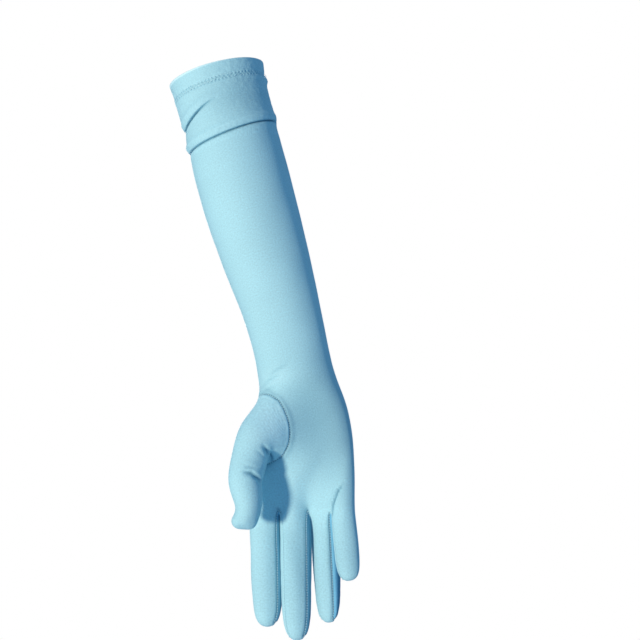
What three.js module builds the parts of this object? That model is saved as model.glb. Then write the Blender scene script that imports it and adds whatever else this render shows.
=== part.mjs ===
import * as THREE from "three";

// A long knitted dress glove for a right hand, in the shape it has when it is worn.
// Lengths are millimetres and angles are degrees. The origin is the middle of the
// cuff opening. The sleeve hangs down from it along -Z, the palm faces -Y, the thumb
// is on the -X side and the little finger on the +X side.

const { degToRad, lerp, clamp } = THREE.MathUtils;

// Driving sizes of the sleeve. The cuff's slant has faded out at a share of the
// sleeve, and the hem's rows lie at shares of its depth.
const sleeve_length = 236;
const cuff_width = 73;
const forearm_width = 68.6;
const forearm_depth = 64;
const wrist_width = 53.6;
const wrist_depth = 41;
const hem_depth = 11;
const cuff_slant = 8;
const fold_height = 2;
const slant_fade = 0.6;
const hem_shares = [0, 0.5];

// Driving sizes of the hand. A squareness of 2 makes the palm's section an ellipse,
// and a greater narrowness draws the hollow in towards the palm's middle.
const hand_lean = 15;
const lean_run = 34;
const palm_length = 94;
const palm_width = 74;
const palm_depth = 30;
const palm_hollow = 2.5;
const palm_squareness = 2.3;
const hollow_narrowness = 6;
const finger_length = 86;
const finger_depth = 17;
const finger_gap = 0.5;
const thumb_length = 70;
const thumb_width = 24;
const thumb_depth = 21;

// Driving sizes of the cloth
const cloth_thickness = 1.2;
const hem_thickness = 2.4;
const seam_gap = 0.3;

// The cloth is worked out as one skin around the arm and hand. Each row of the skin
// is a ring of 20 points: point 0 is on the thumb side, points 1 to 9 cross the palm
// side, point 10 is on the little finger's side and points 11 to 19 cross the back.
const ring_size = 20;
const little_side = 10;
const finger_ring_size = 8;
const thumb_ring_size = 12;

// Places on the thumb's ring, in points: the thumb side and the middle of the front.
const thumb_side_place = 1.5;
const thumb_front_place = 4.5;

// Rows of the sleeve below the hem. along is a share of the stretch from the hem seam
// to the wrist, dip is how much lower the thumb side lies, fullness goes from the
// wrist's girth at 0 to the forearm's at 1, flare from the forearm's to the cuff's,
// shift is a share of the forearm's width, and ridge a share of the fold height. A
// partial row's ridge fades out away from the thumb side.
const sleeve_rows = [
  { along: 0.000, dip: 0.000, fullness: 1.00, flare: 0.35, shift: -0.016, ridge: 0.0, partial: false },
  { along: 0.052, dip: 0.049, fullness: 1.00, flare: 0.00, shift: -0.014, ridge: 0.6, partial: true },
  { along: 0.071, dip: 0.049, fullness: 0.98, flare: 0.00, shift: -0.014, ridge: -0.6, partial: true },
  { along: 0.110, dip: 0.030, fullness: 0.98, flare: 0.00, shift: -0.016, ridge: 0.0, partial: false },
  { along: 0.163, dip: 0.010, fullness: 0.98, flare: 0.00, shift: -0.020, ridge: 0.5, partial: false },
  { along: 0.183, dip: 0.010, fullness: 0.98, flare: 0.00, shift: -0.022, ridge: -0.4, partial: false },
  { along: 0.209, dip: 0.000, fullness: 0.98, flare: 0.00, shift: -0.026, ridge: 0.0, partial: false },
  { along: 0.305, dip: 0.000, fullness: 1.01, flare: 0.00, shift: -0.034, ridge: 0.0, partial: false },
  { along: 0.450, dip: 0.000, fullness: 0.95, flare: 0.00, shift: -0.028, ridge: 0.0, partial: false },
  { along: 0.610, dip: 0.000, fullness: 0.62, flare: 0.00, shift: -0.010, ridge: 0.0, partial: false },
  { along: 0.770, dip: 0.000, fullness: 0.16, flare: 0.00, shift: 0.010, ridge: 0.0, partial: false },
  { along: 0.895, dip: 0.000, fullness: -0.04, flare: 0.00, shift: 0.008, ridge: 0.0, partial: false },
  { along: 1.000, dip: 0.000, fullness: 0.00, flare: 0.00, shift: -0.012, ridge: 0.0, partial: false },
];

// Rows of the palm. down is a share of the palm's length from the wrist to the finger
// crotches, left and right are shares of its width from the hand's axis, front and
// back shares of its depth. layout is how far the row has taken on the fingers' shape.
const palm_rows = [
  { down: 0.17, left: 0.38, right: 0.445, front: 0.63, back: 0.62, layout: 0.0 },
  { down: 0.33, left: 0.40, right: 0.495, front: 0.57, back: 0.57, layout: 0.0 },
  { down: 0.47, left: 0.42, right: 0.520, front: 0.53, back: 0.53, layout: 0.0 },
  { down: 0.63, left: 0.43, right: 0.533, front: 0.50, back: 0.49, layout: 0.1 },
  { down: 0.81, left: 0.46, right: 0.538, front: 0.46, back: 0.43, layout: 0.6 },
];

// The fingers. across is the base's middle and wide its width, as shares of the palm's
// width. forward is how far the base stands in front of the hand's middle and deep its
// depth, as shares of the finger depth. long, drift and reach are shares of the finger
// length: the length from the crotch, how far the tip lies to the little finger's side
// of the base, and how far it lies in front of it. curl bows the finger forwards, and
// roll turns its section.
const fingers = [
  {
    name: "index", across: -0.317, wide: 0.292, forward: -0.14, deep: 1.00,
    long: 0.905, drift: 0.040, reach: 0.09, curl: 0.010, roll: 0,
  },
  {
    name: "middle", across: -0.030, wide: 0.282, forward: 0.06, deep: 1.00,
    long: 1.000, drift: 0.030, reach: 0.12, curl: 0.015, roll: 0,
  },
  {
    name: "ring", across: 0.246, wide: 0.262, forward: -0.06, deep: 0.96,
    long: 0.870, drift: 0.040, reach: 0.10, curl: 0.015, roll: -30,
  },
  {
    name: "little", across: 0.424, wide: 0.232, forward: 0.72, deep: 0.86,
    long: 0.530, drift: 0.055, reach: 0.16, curl: 0.020, roll: -14,
  },
];

// Sections along a finger, as shares of its length, width and depth. seam is the angle
// of the side wall's two seams above and below the finger's middle plane.
const finger_sections = [
  { along: 0.00, wide: 1.00, deep: 1.05, seam: 40 },
  { along: 0.13, wide: 1.00, deep: 1.00, seam: 37 },
  { along: 0.42, wide: 1.00, deep: 0.97, seam: 37 },
  { along: 0.70, wide: 0.96, deep: 0.92, seam: 35 },
  { along: 0.89, wide: 0.84, deep: 0.78, seam: 29 },
  { along: 0.985, wide: 0.50, deep: 0.46, seam: 16 },
];
const finger_tip_along = 1.02;

// The oval seam that sets the thumb into the palm. down and tall are shares of the
// palm's length, and the angles run round the hand as the ring's points do.
const thumb_seam = {
  down: 0.396,
  tall: 0.262,
  angle: 226,
  front_reach: 31.5,
  back_reach: 74,
  low_skew: 7,
};

// Sections along the thumb. across and down are shares of the palm's width and length
// for its root and of the thumb's length beyond, forward a share of the thumb's length.
// tilt turns the section in the palm's plane, and pitch leans it forwards.
const thumb_root = { across: -0.372, down: 0.479, forward: 0.62 };
const thumb_sections = [
  { across: -0.014, down: -0.008, forward: 0.00, wide: 1.20, deep: 1.22, tilt: 43, pitch: 26 },
  { across: -0.054, down: 0.179, forward: 0.06, wide: 1.08, deep: 1.12, tilt: 25, pitch: 20 },
  { across: -0.087, down: 0.340, forward: 0.115, wide: 1.02, deep: 1.04, tilt: 8, pitch: 15 },
  { across: -0.096, down: 0.457, forward: 0.15, wide: 0.94, deep: 1.00, tilt: 0, pitch: 11 },
  { across: -0.056, down: 0.586, forward: 0.172, wide: 0.86, deep: 0.96, tilt: -4, pitch: 6 },
  { across: -0.044, down: 0.700, forward: 0.184, wide: 0.68, deep: 0.90, tilt: 4, pitch: 3 },
  { across: -0.098, down: 0.815, forward: 0.19, wide: 0.76, deep: 0.76, tilt: 8, pitch: 2 },
];
const thumb_tip = { across: -0.118, down: 0.885, forward: 0.192 };
const thumb_swell = 0.45;

const back_direction = new THREE.Vector3(0, 1, 0);

// The smoothed skin lies inside its rings, so each ring is drawn this much larger.
function hold_factor(sides) {
  return 3 / (2 + Math.cos(degToRad(360 / sides)));
}

// The middle line of the sleeve and hand, which turns towards the thumb at the wrist.
function spine(distance) {
  const turn_start = sleeve_length - lean_run / 2;
  const turn_radius = lean_run / degToRad(hand_lean);
  const turned = clamp((distance - turn_start) / lean_run, 0, 1) * degToRad(hand_lean);
  const past = Math.max(0, distance - turn_start - lean_run);
  const down = new THREE.Vector3(-Math.sin(turned), 0, -Math.cos(turned));
  const across = new THREE.Vector3(Math.cos(turned), 0, -Math.sin(turned));
  const centre = new THREE.Vector3(
    -turn_radius * (1 - Math.cos(turned)),
    0,
    -Math.min(distance, turn_start) - turn_radius * Math.sin(turned),
  );
  centre.addScaledVector(down, past);
  return { centre, across, down };
}

// A point at a distance below the cuff opening, across towards the little finger and
// backwards from the palm.
function place(distance, across, back) {
  const line = spine(distance);
  return line.centre.addScaledVector(line.across, across).addScaledVector(back_direction, back);
}

// A direction in the hand, turned in the palm's plane.
function hand_directions(tilt) {
  const line = spine(sleeve_length + palm_length);
  const turned = degToRad(tilt);
  const across = line.across.clone().multiplyScalar(Math.cos(turned));
  across.addScaledVector(line.down, Math.sin(turned));
  const down = line.down.clone().multiplyScalar(Math.cos(turned));
  down.addScaledVector(line.across, -Math.sin(turned));
  return { across, down };
}

// The value of one column at a place along a table, between its rows.
function read_column(rows, along_name, along, column) {
  const last = rows.length - 1;
  const next = clamp(rows.findIndex((row) => row[along_name] >= along), 1, last);
  const after = along > rows[last][along_name] ? last : next;
  const before = rows[after - 1];
  const share = (along - before[along_name]) / (rows[after][along_name] - before[along_name]);
  return lerp(before[column], rows[after][column], share);
}

function ring_angle(i) {
  return 180 + (i * 360) / ring_size;
}

// One point of a sleeve row.
function sleeve_point(row, i, distance, slanted) {
  const angle = degToRad(ring_angle(i));
  const cosine = Math.cos(angle);
  const sine = Math.sin(angle);
  const thumb_side = Math.max(0, -cosine) ** 2;
  const flare = (cuff_width - forearm_width) * row.flare;
  const wide = lerp(wrist_width, forearm_width, row.fullness) + flare;
  const deep = lerp(wrist_depth, forearm_depth, row.fullness) + flare;
  const hold = hold_factor(ring_size);
  const raised = row.ridge * fold_height * (row.partial ? thumb_side : 1);
  const slant = slanted * Math.tan(degToRad(cuff_slant)) * (deep / 2) * sine;
  const sag = row.dip * (sleeve_length - hem_depth) * thumb_side;
  return place(
    distance + sag - slant,
    (wide / 2) * hold * cosine + raised * cosine + row.shift * forearm_width,
    (deep / 2) * hold * sine + raised * sine,
  );
}

// The wrist, as the row above the palm's first.
const wrist_shift = sleeve_rows[sleeve_rows.length - 1].shift * forearm_width;
const wrist_row = {
  down: 0,
  left: (wrist_width / 2 - wrist_shift) / palm_width,
  right: (wrist_width / 2 + wrist_shift) / palm_width,
  front: wrist_depth / 2 / palm_depth,
  back: wrist_depth / 2 / palm_depth,
};
const palm_outline_rows = [wrist_row, ...palm_rows];

// The palm's outline at a share of its length, as a flattened oval.
function palm_point(down, angle_degrees) {
  const read = (column) => read_column(palm_outline_rows, "down", down, column);
  const angle = degToRad(angle_degrees);
  const flatness = 2 / palm_squareness;
  const across_share = Math.sign(Math.cos(angle)) * Math.abs(Math.cos(angle)) ** flatness;
  const back_share = Math.sign(Math.sin(angle)) * Math.abs(Math.sin(angle)) ** flatness;
  const middle = ((read("right") - read("left")) / 2) * palm_width;
  const half_width = ((read("right") + read("left")) / 2) * palm_width;
  const depth = (back_share > 0 ? read("back") : read("front")) * palm_depth;
  const hollow_depth = palm_hollow * Math.sin(Math.PI * clamp(down, 0, 1));
  const hollow = hollow_depth * Math.max(0, -back_share) ** hollow_narrowness;
  const hold = hold_factor(ring_size);
  return place(
    sleeve_length + down * palm_length,
    middle + half_width * hold * across_share,
    depth * hold * back_share + hollow,
  );
}

// The point at an angle round a finger, on the section at a share of its length.
function finger_point(finger, section, seam_angle) {
  const length = finger.long * finger_length;
  const lean = Math.atan2(finger.drift * finger_length, length);
  const turned = hand_directions((-lean * 180) / Math.PI);
  const roll = degToRad(finger.roll);
  const across = turned.across.multiplyScalar(Math.cos(roll));
  across.addScaledVector(back_direction, Math.sin(roll));
  const back = turned.down.clone().cross(across).negate();
  const bow = 4 * section.along * (1 - section.along) * finger.curl * finger_length;
  const reach = finger.reach * finger_length * section.along ** 2;
  const forward = finger.forward * finger_depth + reach + bow;
  const centre = place(
    sleeve_length + palm_length + section.along * length,
    finger.across * palm_width + finger.drift * finger_length * section.along,
    -forward,
  );
  const angle = degToRad(seam_angle);
  const hold = hold_factor(finger_ring_size);
  const half_width = ((finger.wide * palm_width - finger_gap) / 2) * section.wide * hold;
  const half_depth = ((finger.deep * finger_depth) / 2) * section.deep * hold;
  centre.addScaledVector(across, half_width * Math.cos(angle));
  return centre.addScaledVector(back, half_depth * Math.sin(angle));
}

// The ring of a finger starts on its thumb side and passes the palm side first.
function finger_ring(finger, section) {
  const seam = section.seam;
  const angles = [180, 180 + seam, 270, 360 - seam, 0, seam, 90, 180 - seam];
  return angles.map((angle) => finger_point(finger, section, angle));
}

// The thumb's ring starts on the back near the wrist and passes the palm side first.
function thumb_ring(section) {
  const turned = hand_directions(section.tilt);
  const pitch = degToRad(section.pitch);
  const back = back_direction.clone().multiplyScalar(Math.cos(pitch));
  back.addScaledVector(turned.down, Math.sin(pitch));
  const centre = thumb_centre(section);
  const hold = hold_factor(thumb_ring_size);
  const ring = [];
  for (let j = 0; j < thumb_ring_size; j += 1) {
    const angle = degToRad(180 + ((j - thumb_side_place) * 360) / thumb_ring_size);
    const point = centre.clone();
    point.addScaledVector(turned.across, (thumb_width / 2) * section.wide * hold * Math.cos(angle));
    point.addScaledVector(back, (thumb_depth / 2) * section.deep * hold * Math.sin(angle));
    ring.push(point);
  }
  return ring;
}

function thumb_centre(section) {
  return place(
    sleeve_length + thumb_root.down * palm_length + section.down * thumb_length,
    thumb_root.across * palm_width + section.across * thumb_length,
    -thumb_root.forward * palm_depth - section.forward * thumb_length,
  );
}

// The thumb seam's points on the palm, in the thumb ring's order.
function thumb_seam_place(j) {
  const turn = degToRad(((j - thumb_front_place) * 360) / thumb_ring_size);
  const reach = Math.cos(turn) > 0 ? thumb_seam.front_reach : thumb_seam.back_reach;
  const skew = thumb_seam.low_skew * Math.max(0, Math.sin(turn));
  return {
    down: thumb_seam.down + thumb_seam.tall * Math.sin(turn),
    angle: thumb_seam.angle + reach * Math.cos(turn) + skew,
  };
}

// The skin's corner points and faces, each face with the name of its piece of cloth.
const cage = { points: [], faces: [] };

function add_points(points) {
  return points.map((point) => cage.points.push(point) - 1);
}

function add_face(cloth, corners) {
  cage.faces.push({ cloth, corners });
}

function add_band(upper, lower, cloth_of, skipped = () => false) {
  const count = upper.length;
  for (let i = 0; i < count; i += 1) {
    const next = (i + 1) % count;
    if (!skipped(i)) add_face(cloth_of(i), [upper[i], lower[i], lower[next], upper[next]]);
  }
}

// A closed end: the last ring's sides meet in fours at the tip.
function add_cap(ring, tip, cloth) {
  for (let i = 0; i < ring.length; i += 2) {
    add_face(cloth, [ring[i], tip, ring[(i + 2) % ring.length], ring[(i + 1) % ring.length]]);
  }
}

function make_sleeve_rings() {
  const rings = [];
  const [hem_row] = sleeve_rows;
  const ring_indices = Array.from({ length: ring_size }, (_, i) => i);
  for (const share of hem_shares) {
    const row = { ...hem_row, flare: lerp(1, hem_row.flare, share) };
    rings.push(ring_indices.map((i) => sleeve_point(row, i, share * hem_depth, 1)));
  }
  for (const row of sleeve_rows) {
    const distance = hem_depth + row.along * (sleeve_length - hem_depth);
    const slanted = Math.max(0, 1 - row.along / slant_fade);
    rings.push(ring_indices.map((i) => sleeve_point(row, i, distance, slanted)));
  }
  return rings;
}

// Where the palm's four rows beside the thumb pass the seam oval: their points 19, 0,
// 1 and 2 are the oval's own, and the rest of the row is spread over what is left.
const seam_ring_places = {
  0: { 19: 0, 0: 1, 1: 2, 2: 3 },
  1: { 19: 11, 2: 4 },
  2: { 19: 10, 2: 5 },
  3: { 19: 9, 0: 8, 1: 7, 2: 6 },
};

function palm_angle(i, front_angle, back_angle) {
  if (i >= 2 && i <= little_side) {
    return lerp(front_angle, 360, (i - 2) / (little_side - 2));
  }
  if (i > little_side) {
    return lerp(0, back_angle, (i - little_side) / (ring_size - 1 - little_side));
  }
  return ring_angle(i);
}

function make_palm_rings(layout_ring) {
  return palm_rows.map((row, r) => {
    const seam_points = seam_ring_places[r] ?? {};
    const beside_thumb = r in seam_ring_places;
    const front_angle = beside_thumb ? thumb_seam_place(seam_points[2]).angle : ring_angle(2);
    const back_angle = beside_thumb ? thumb_seam_place(seam_points[19]).angle : ring_angle(19) - 360;
    const ring = [];
    for (let i = 0; i < ring_size; i += 1) {
      let point;
      if (i in seam_points) {
        const seam = thumb_seam_place(seam_points[i]);
        point = palm_point(seam.down, seam.angle);
      } else {
        point = palm_point(row.down, palm_angle(i, front_angle, back_angle));
      }
      const above_crotch = -(1 - row.down) * palm_length;
      const laid = layout_ring[i].clone().addScaledVector(hand_directions(0).down, above_crotch);
      const share = i in seam_points ? 0 : row.layout;
      ring.push(point.lerp(laid, share));
    }
    return ring;
  });
}

// The row at the finger crotches takes its points from the fingers' first sections.
function make_layout() {
  const bases = fingers.map((finger) => finger_ring(finger, finger_sections[0]));
  const between = (a, b) => a.clone().add(b).multiplyScalar(0.5);
  const ring = new Array(ring_size);
  const crotches = [];
  bases.forEach((base, k) => {
    ring[2 * k + 2] = base[2];
    ring[18 - 2 * k] = base[6];
    if (k > 0) {
      const before = bases[k - 1];
      ring[2 * k + 1] = between(before[3], base[1]);
      ring[19 - 2 * k] = between(before[5], base[7]);
      crotches[k] = between(before[4], base[0]);
    }
  });
  const last = bases[bases.length - 1];
  ring[0] = bases[0][0];
  ring[1] = bases[0][1];
  ring[19] = bases[0][7];
  ring[9] = last[3];
  ring[10] = last[4];
  ring[11] = last[5];
  return { ring, crotches };
}

const trunk = () => "hand_and_sleeve";
const fourchette_names = fingers
  .slice(1)
  .map((finger, k) => `fourchette_${fingers[k].name}_${finger.name}`);

// The two faces next to a finger's side are the side wall sewn in between two fingers.
function finger_cloth(k, i) {
  const right_side = i === 3 || i === 4;
  const left_side = i === 0 || i === 7;
  if (right_side && k < fourchette_names.length) return fourchette_names[k];
  if (left_side && k > 0) return fourchette_names[k - 1];
  return "hand_and_sleeve";
}

function build_cage() {
  const sleeve_rings = make_sleeve_rings().map(add_points);
  const layout = make_layout();
  const palm_rings = make_palm_rings(layout.ring).map(add_points);
  const crotch_ring = add_points(layout.ring);
  const rings = [...sleeve_rings, ...palm_rings, crotch_ring];
  const hem_bands = hem_shares.length;
  const thumb_start = sleeve_rings.length;
  const seam_bands = Object.keys(seam_ring_places).length - 1;
  for (let r = 0; r + 1 < rings.length; r += 1) {
    const cloth_of = r < hem_bands ? () => "cuff_hem" : trunk;
    const beside_thumb = r >= thumb_start && r < thumb_start + seam_bands;
    const skipped = (i) => beside_thumb && (i === ring_size - 1 || i < 2);
    add_band(rings[r], rings[r + 1], cloth_of, skipped);
  }

  const crotch_points = layout.crotches.map((point) => add_points([point])[0]);
  fingers.forEach((finger, k) => {
    const base = [
      k === 0 ? crotch_ring[0] : crotch_points[k],
      crotch_ring[2 * k + 1],
      crotch_ring[2 * k + 2],
      crotch_ring[2 * k + 3],
      k === fingers.length - 1 ? crotch_ring[little_side] : crotch_points[k + 1],
      crotch_ring[17 - 2 * k],
      crotch_ring[18 - 2 * k],
      crotch_ring[19 - 2 * k],
    ];
    let upper = base;
    for (const section of finger_sections.slice(1)) {
      const lower = add_points(finger_ring(finger, section));
      add_band(upper, lower, (i) => finger_cloth(k, i));
      upper = lower;
    }
    const tip_section = { along: finger_tip_along, wide: 0, deep: 0, seam: 0 };
    const [tip] = add_points([finger_point(finger, tip_section, 0)]);
    add_cap(upper, tip, "hand_and_sleeve");
  });

  const seam_loop = [];
  for (const [row, places] of Object.entries(seam_ring_places)) {
    for (const [i, j] of Object.entries(places)) {
      seam_loop[j] = palm_rings[row][i];
    }
  }
  const sections = thumb_sections.map(thumb_ring);
  const seam_point = (j) => cage.points[seam_loop[j]].clone();
  const swell = sections[0].map((point, j) => seam_point(j).lerp(point, thumb_swell));
  let upper = seam_loop;
  for (const ring of [swell, ...sections]) {
    const lower = add_points(ring);
    add_band(upper, lower, () => "thumb");
    upper = lower;
  }
  const [tip] = add_points([thumb_centre(thumb_tip)]);
  add_cap(upper, tip, "thumb");
}

function mean(points) {
  const sum = new THREE.Vector3();
  points.forEach((point) => sum.add(point));
  return sum.divideScalar(points.length);
}

function edge_key(a, b) {
  return a < b ? `${a} ${b}` : `${b} ${a}`;
}

// Edges by their two ends, each with the faces that meet there.
function find_edges(faces) {
  const edges = new Map();
  faces.forEach((face, f) => {
    face.corners.forEach((a, i) => {
      const b = face.corners[(i + 1) % face.corners.length];
      const key = edge_key(a, b);
      if (!edges.has(key)) edges.set(key, { ends: [a, b], faces: [] });
      edges.get(key).faces.push(f);
    });
  });
  return edges;
}

// One step of Catmull and Clark's rule, which rounds the skin and splits each face in four.
function subdivide(skin) {
  const edges = find_edges(skin.faces);
  const points = skin.points.map(() => null);
  const face_middles = skin.faces.map((face) => mean(face.corners.map((c) => skin.points[c])));
  const around = skin.points.map(() => ({ faces: [], edges: [] }));
  skin.faces.forEach((face, f) => face.corners.forEach((c) => around[c].faces.push(f)));
  edges.forEach((edge) => edge.ends.forEach((end) => around[end].edges.push(edge)));
  const edge_middle = (edge) => mean(edge.ends.map((end) => skin.points[end]));
  skin.points.forEach((point, v) => {
    const open = around[v].edges.filter((edge) => edge.faces.length === 1);
    if (open.length > 0) {
      points[v] = mean(open.map(edge_middle)).lerp(point, 0.5);
      return;
    }
    const valence = around[v].edges.length;
    const faces_mean = mean(around[v].faces.map((f) => face_middles[f]));
    const edges_mean = mean(around[v].edges.map(edge_middle));
    points[v] = point.clone().multiplyScalar(valence - 3).add(faces_mean);
    points[v].addScaledVector(edges_mean, 2).divideScalar(valence);
  });
  const face_points = face_middles.map((middle) => points.push(middle) - 1);
  edges.forEach((edge) => {
    const ends = edge.ends.map((end) => skin.points[end]);
    const sides = edge.faces.length === 2 ? edge.faces.map((f) => face_middles[f]) : [];
    edge.point = points.push(mean([...ends, ...sides])) - 1;
  });
  const faces = [];
  skin.faces.forEach((face, f) => {
    const count = face.corners.length;
    const edge_point = (a, b) => edges.get(edge_key(a, b)).point;
    face.corners.forEach((corner, i) => {
      const before = face.corners[(i + count - 1) % count];
      const after = face.corners[(i + 1) % count];
      const corners = [corner, edge_point(corner, after), face_points[f], edge_point(before, corner)];
      faces.push({ cloth: face.cloth, corners });
    });
  });
  return { points, faces };
}

// Each point moved to where endless further rounding would leave it.
function settle(skin) {
  const neighbours = skin.points.map(() => ({ near: [], far: [], open: [] }));
  find_edges(skin.faces).forEach((edge) => {
    const [a, b] = edge.ends;
    neighbours[a].near.push(b);
    neighbours[b].near.push(a);
    if (edge.faces.length === 1) {
      neighbours[a].open.push(b);
      neighbours[b].open.push(a);
    }
  });
  skin.faces.forEach(({ corners }) => {
    corners.forEach((corner, i) => neighbours[corner].far.push(corners[(i + 2) % 4]));
  });
  const points = skin.points.map((point, v) => {
    const { near, far, open } = neighbours[v];
    const pick = (indices) => mean(indices.map((i) => skin.points[i]));
    if (open.length > 0) return pick(open).lerp(point, 2 / 3);
    const valence = near.length;
    const settled = point.clone().multiplyScalar(valence);
    settled.addScaledVector(pick(near), 4).add(pick(far));
    return settled.divideScalar(valence + 5);
  });
  return { points, faces: skin.faces };
}

// The skin's outward direction at each point.
function find_normals(skin) {
  const normals = skin.points.map(() => new THREE.Vector3());
  skin.faces.forEach(({ corners }) => {
    const [a, b, c, d] = corners.map((corner) => skin.points[corner]);
    const normal = c.clone().sub(a).cross(d.clone().sub(b));
    corners.forEach((corner) => normals[corner].add(normal));
  });
  return normals.map((normal) => normal.normalize());
}

// One piece of cloth: its patch of the skin, drawn back a little from its seams, with
// a second surface one thickness inside and a wall round every edge between the two.
function cloth_geometry(skin, normals, cloth, thickness) {
  const faces = skin.faces.filter((face) => face.cloth === cloth);
  const inward = new Map();
  faces.forEach(({ corners }) => {
    const middle = mean(corners.map((corner) => skin.points[corner]));
    corners.forEach((corner) => {
      if (!inward.has(corner)) inward.set(corner, new THREE.Vector3());
      inward.get(corner).add(middle.clone().sub(skin.points[corner]));
    });
  });
  const edges = find_edges(faces);
  const border = new Set();
  edges.forEach((edge) => {
    if (edge.faces.length === 1) edge.ends.forEach((end) => border.add(end));
  });
  const positions = [];
  const outer = new Map();
  inward.forEach((pull, v) => {
    const point = skin.points[v].clone();
    if (border.has(v)) {
      pull.addScaledVector(normals[v], -pull.dot(normals[v])).normalize();
      point.addScaledVector(pull, seam_gap / 2);
    }
    outer.set(v, positions.length / 3);
    positions.push(...point.toArray());
    positions.push(...point.addScaledVector(normals[v], -thickness).toArray());
  });
  const triangles = [];
  const outside = (v) => outer.get(v);
  const inside = (v) => outer.get(v) + 1;
  faces.forEach(({ corners }) => {
    const [a, b, c, d] = corners;
    triangles.push(outside(a), outside(b), outside(c), outside(a), outside(c), outside(d));
    triangles.push(inside(a), inside(c), inside(b), inside(a), inside(d), inside(c));
    corners.forEach((from, i) => {
      const to = corners[(i + 1) % 4];
      if (edges.get(edge_key(from, to)).faces.length > 1) return;
      const wall = [outside(from), inside(from), inside(to), outside(to)];
      const start = from < to ? 0 : 1;
      triangles.push(wall[start], wall[start + 1], wall[start + 2]);
      triangles.push(wall[start], wall[start + 2], wall[(start + 3) % 4]);
    });
  });
  const geometry = new THREE.BufferGeometry();
  geometry.setAttribute("position", new THREE.Float32BufferAttribute(positions, 3));
  geometry.setIndex(triangles);
  geometry.computeVertexNormals();
  return geometry;
}

build_cage();
const skin = settle(subdivide(cage));
const skin_normals = find_normals(skin);

const knit_blue = 0x8fd0e6;
const hem_blue = 0x9ad6ea;
const knit_roughness = 0.72;
const pieces = [
  { name: "cuff_hem", thickness: hem_thickness, colour: hem_blue },
  { name: "hand_and_sleeve", thickness: cloth_thickness, colour: knit_blue },
  { name: "thumb", thickness: cloth_thickness, colour: knit_blue },
  ...fourchette_names.map((name) => ({ name, thickness: cloth_thickness, colour: knit_blue })),
];

const glove = new THREE.Group();
for (const piece of pieces) {
  const look = { color: piece.colour, roughness: knit_roughness, metalness: 0 };
  const material = new THREE.MeshStandardMaterial(look);
  const geometry = cloth_geometry(skin, skin_normals, piece.name, piece.thickness);
  const mesh = new THREE.Mesh(geometry, material);
  mesh.name = piece.name;
  glove.add(mesh);
}

export default glove;
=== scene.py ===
# %% [markdown]
# A long dress glove for a right hand, cut from fine pale blue stretch knit. It is shown
# filled out as it is when worn, hanging from its cuff opening. This lesson dresses the
# plain solids of the glove in cloth: folds in the sleeve, a stitched hem, a thumb that
# is set in with a seam, and narrow side walls between the fingers.
#
# Everything is in metres in the end. The shapes are worked out in millimetres, which
# are easier to read for something of this size.

import math

import bmesh
import bpy
import numpy as np
from mathutils import Matrix, Vector, kdtree, noise


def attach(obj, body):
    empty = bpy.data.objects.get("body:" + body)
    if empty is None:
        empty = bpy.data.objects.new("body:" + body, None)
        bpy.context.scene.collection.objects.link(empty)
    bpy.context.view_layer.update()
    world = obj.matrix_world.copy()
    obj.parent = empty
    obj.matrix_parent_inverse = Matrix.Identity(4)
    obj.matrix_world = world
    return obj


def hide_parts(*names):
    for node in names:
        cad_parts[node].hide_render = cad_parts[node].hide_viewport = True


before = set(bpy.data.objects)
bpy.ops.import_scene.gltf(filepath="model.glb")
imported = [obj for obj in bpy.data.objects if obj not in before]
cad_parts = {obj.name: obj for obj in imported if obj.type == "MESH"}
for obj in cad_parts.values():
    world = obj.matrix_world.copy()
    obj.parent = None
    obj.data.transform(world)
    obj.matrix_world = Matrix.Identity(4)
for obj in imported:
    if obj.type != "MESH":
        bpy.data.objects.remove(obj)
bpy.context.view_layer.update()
scene = bpy.context.scene
print("pieces in the frame:", sorted(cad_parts))

# %% [markdown]
# A worn glove is one smooth skin with seams in it, so it is modelled as one cage first
# and only then cut into its pieces of cloth. The cage is a stack of rings: each ring of
# the sleeve and palm has 20 points, each finger 8 and the thumb 12. A table row per
# ring keeps the shape readable. The sizes and tables are the same as the solid's.

# %% Sizes of the sleeve and hand
sleeve_length, hem_depth, cuff_slant = 236.0, 11.0, 8.0
cuff_width, forearm_width, forearm_depth = 73.0, 68.6, 64.0
wrist_width, wrist_depth = 53.6, 41.0
fold_height, slant_fade = 2.0, 0.6
hand_lean, lean_run = math.radians(15), 34.0
palm_length, palm_width, palm_depth = 94.0, 74.0, 30.0
palm_hollow, palm_squareness, hollow_narrowness = 2.5, 2.3, 6
finger_length, finger_depth, finger_gap = 86.0, 17.0, 0.5
thumb_length, thumb_width, thumb_depth = 70.0, 24.0, 21.0
ring_size, little_side, finger_ring_size, thumb_ring_size = 20, 10, 8, 12


def table(columns, rows):
    names = columns.split()
    return [dict(zip(names, row)) for row in rows]


sleeve_rows = table("along dip fullness flare shift ridge partial", [
    (0.000, 0.000, 1.00, 0.35, -0.016, 0.0, 0),
    (0.052, 0.049, 1.00, 0.00, -0.014, 0.6, 1),
    (0.071, 0.049, 0.98, 0.00, -0.014, -0.6, 1),
    (0.110, 0.030, 0.98, 0.00, -0.016, 0.0, 0),
    (0.163, 0.010, 0.98, 0.00, -0.020, 0.5, 0),
    (0.183, 0.010, 0.98, 0.00, -0.022, -0.4, 0),
    (0.209, 0.000, 0.98, 0.00, -0.026, 0.0, 0),
    (0.305, 0.000, 1.01, 0.00, -0.034, 0.0, 0),
    (0.450, 0.000, 0.95, 0.00, -0.028, 0.0, 0),
    (0.610, 0.000, 0.62, 0.00, -0.010, 0.0, 0),
    (0.770, 0.000, 0.16, 0.00, 0.010, 0.0, 0),
    (0.895, 0.000, -0.04, 0.00, 0.008, 0.0, 0),
    (1.000, 0.000, 0.00, 0.00, -0.012, 0.0, 0),
])
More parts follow.
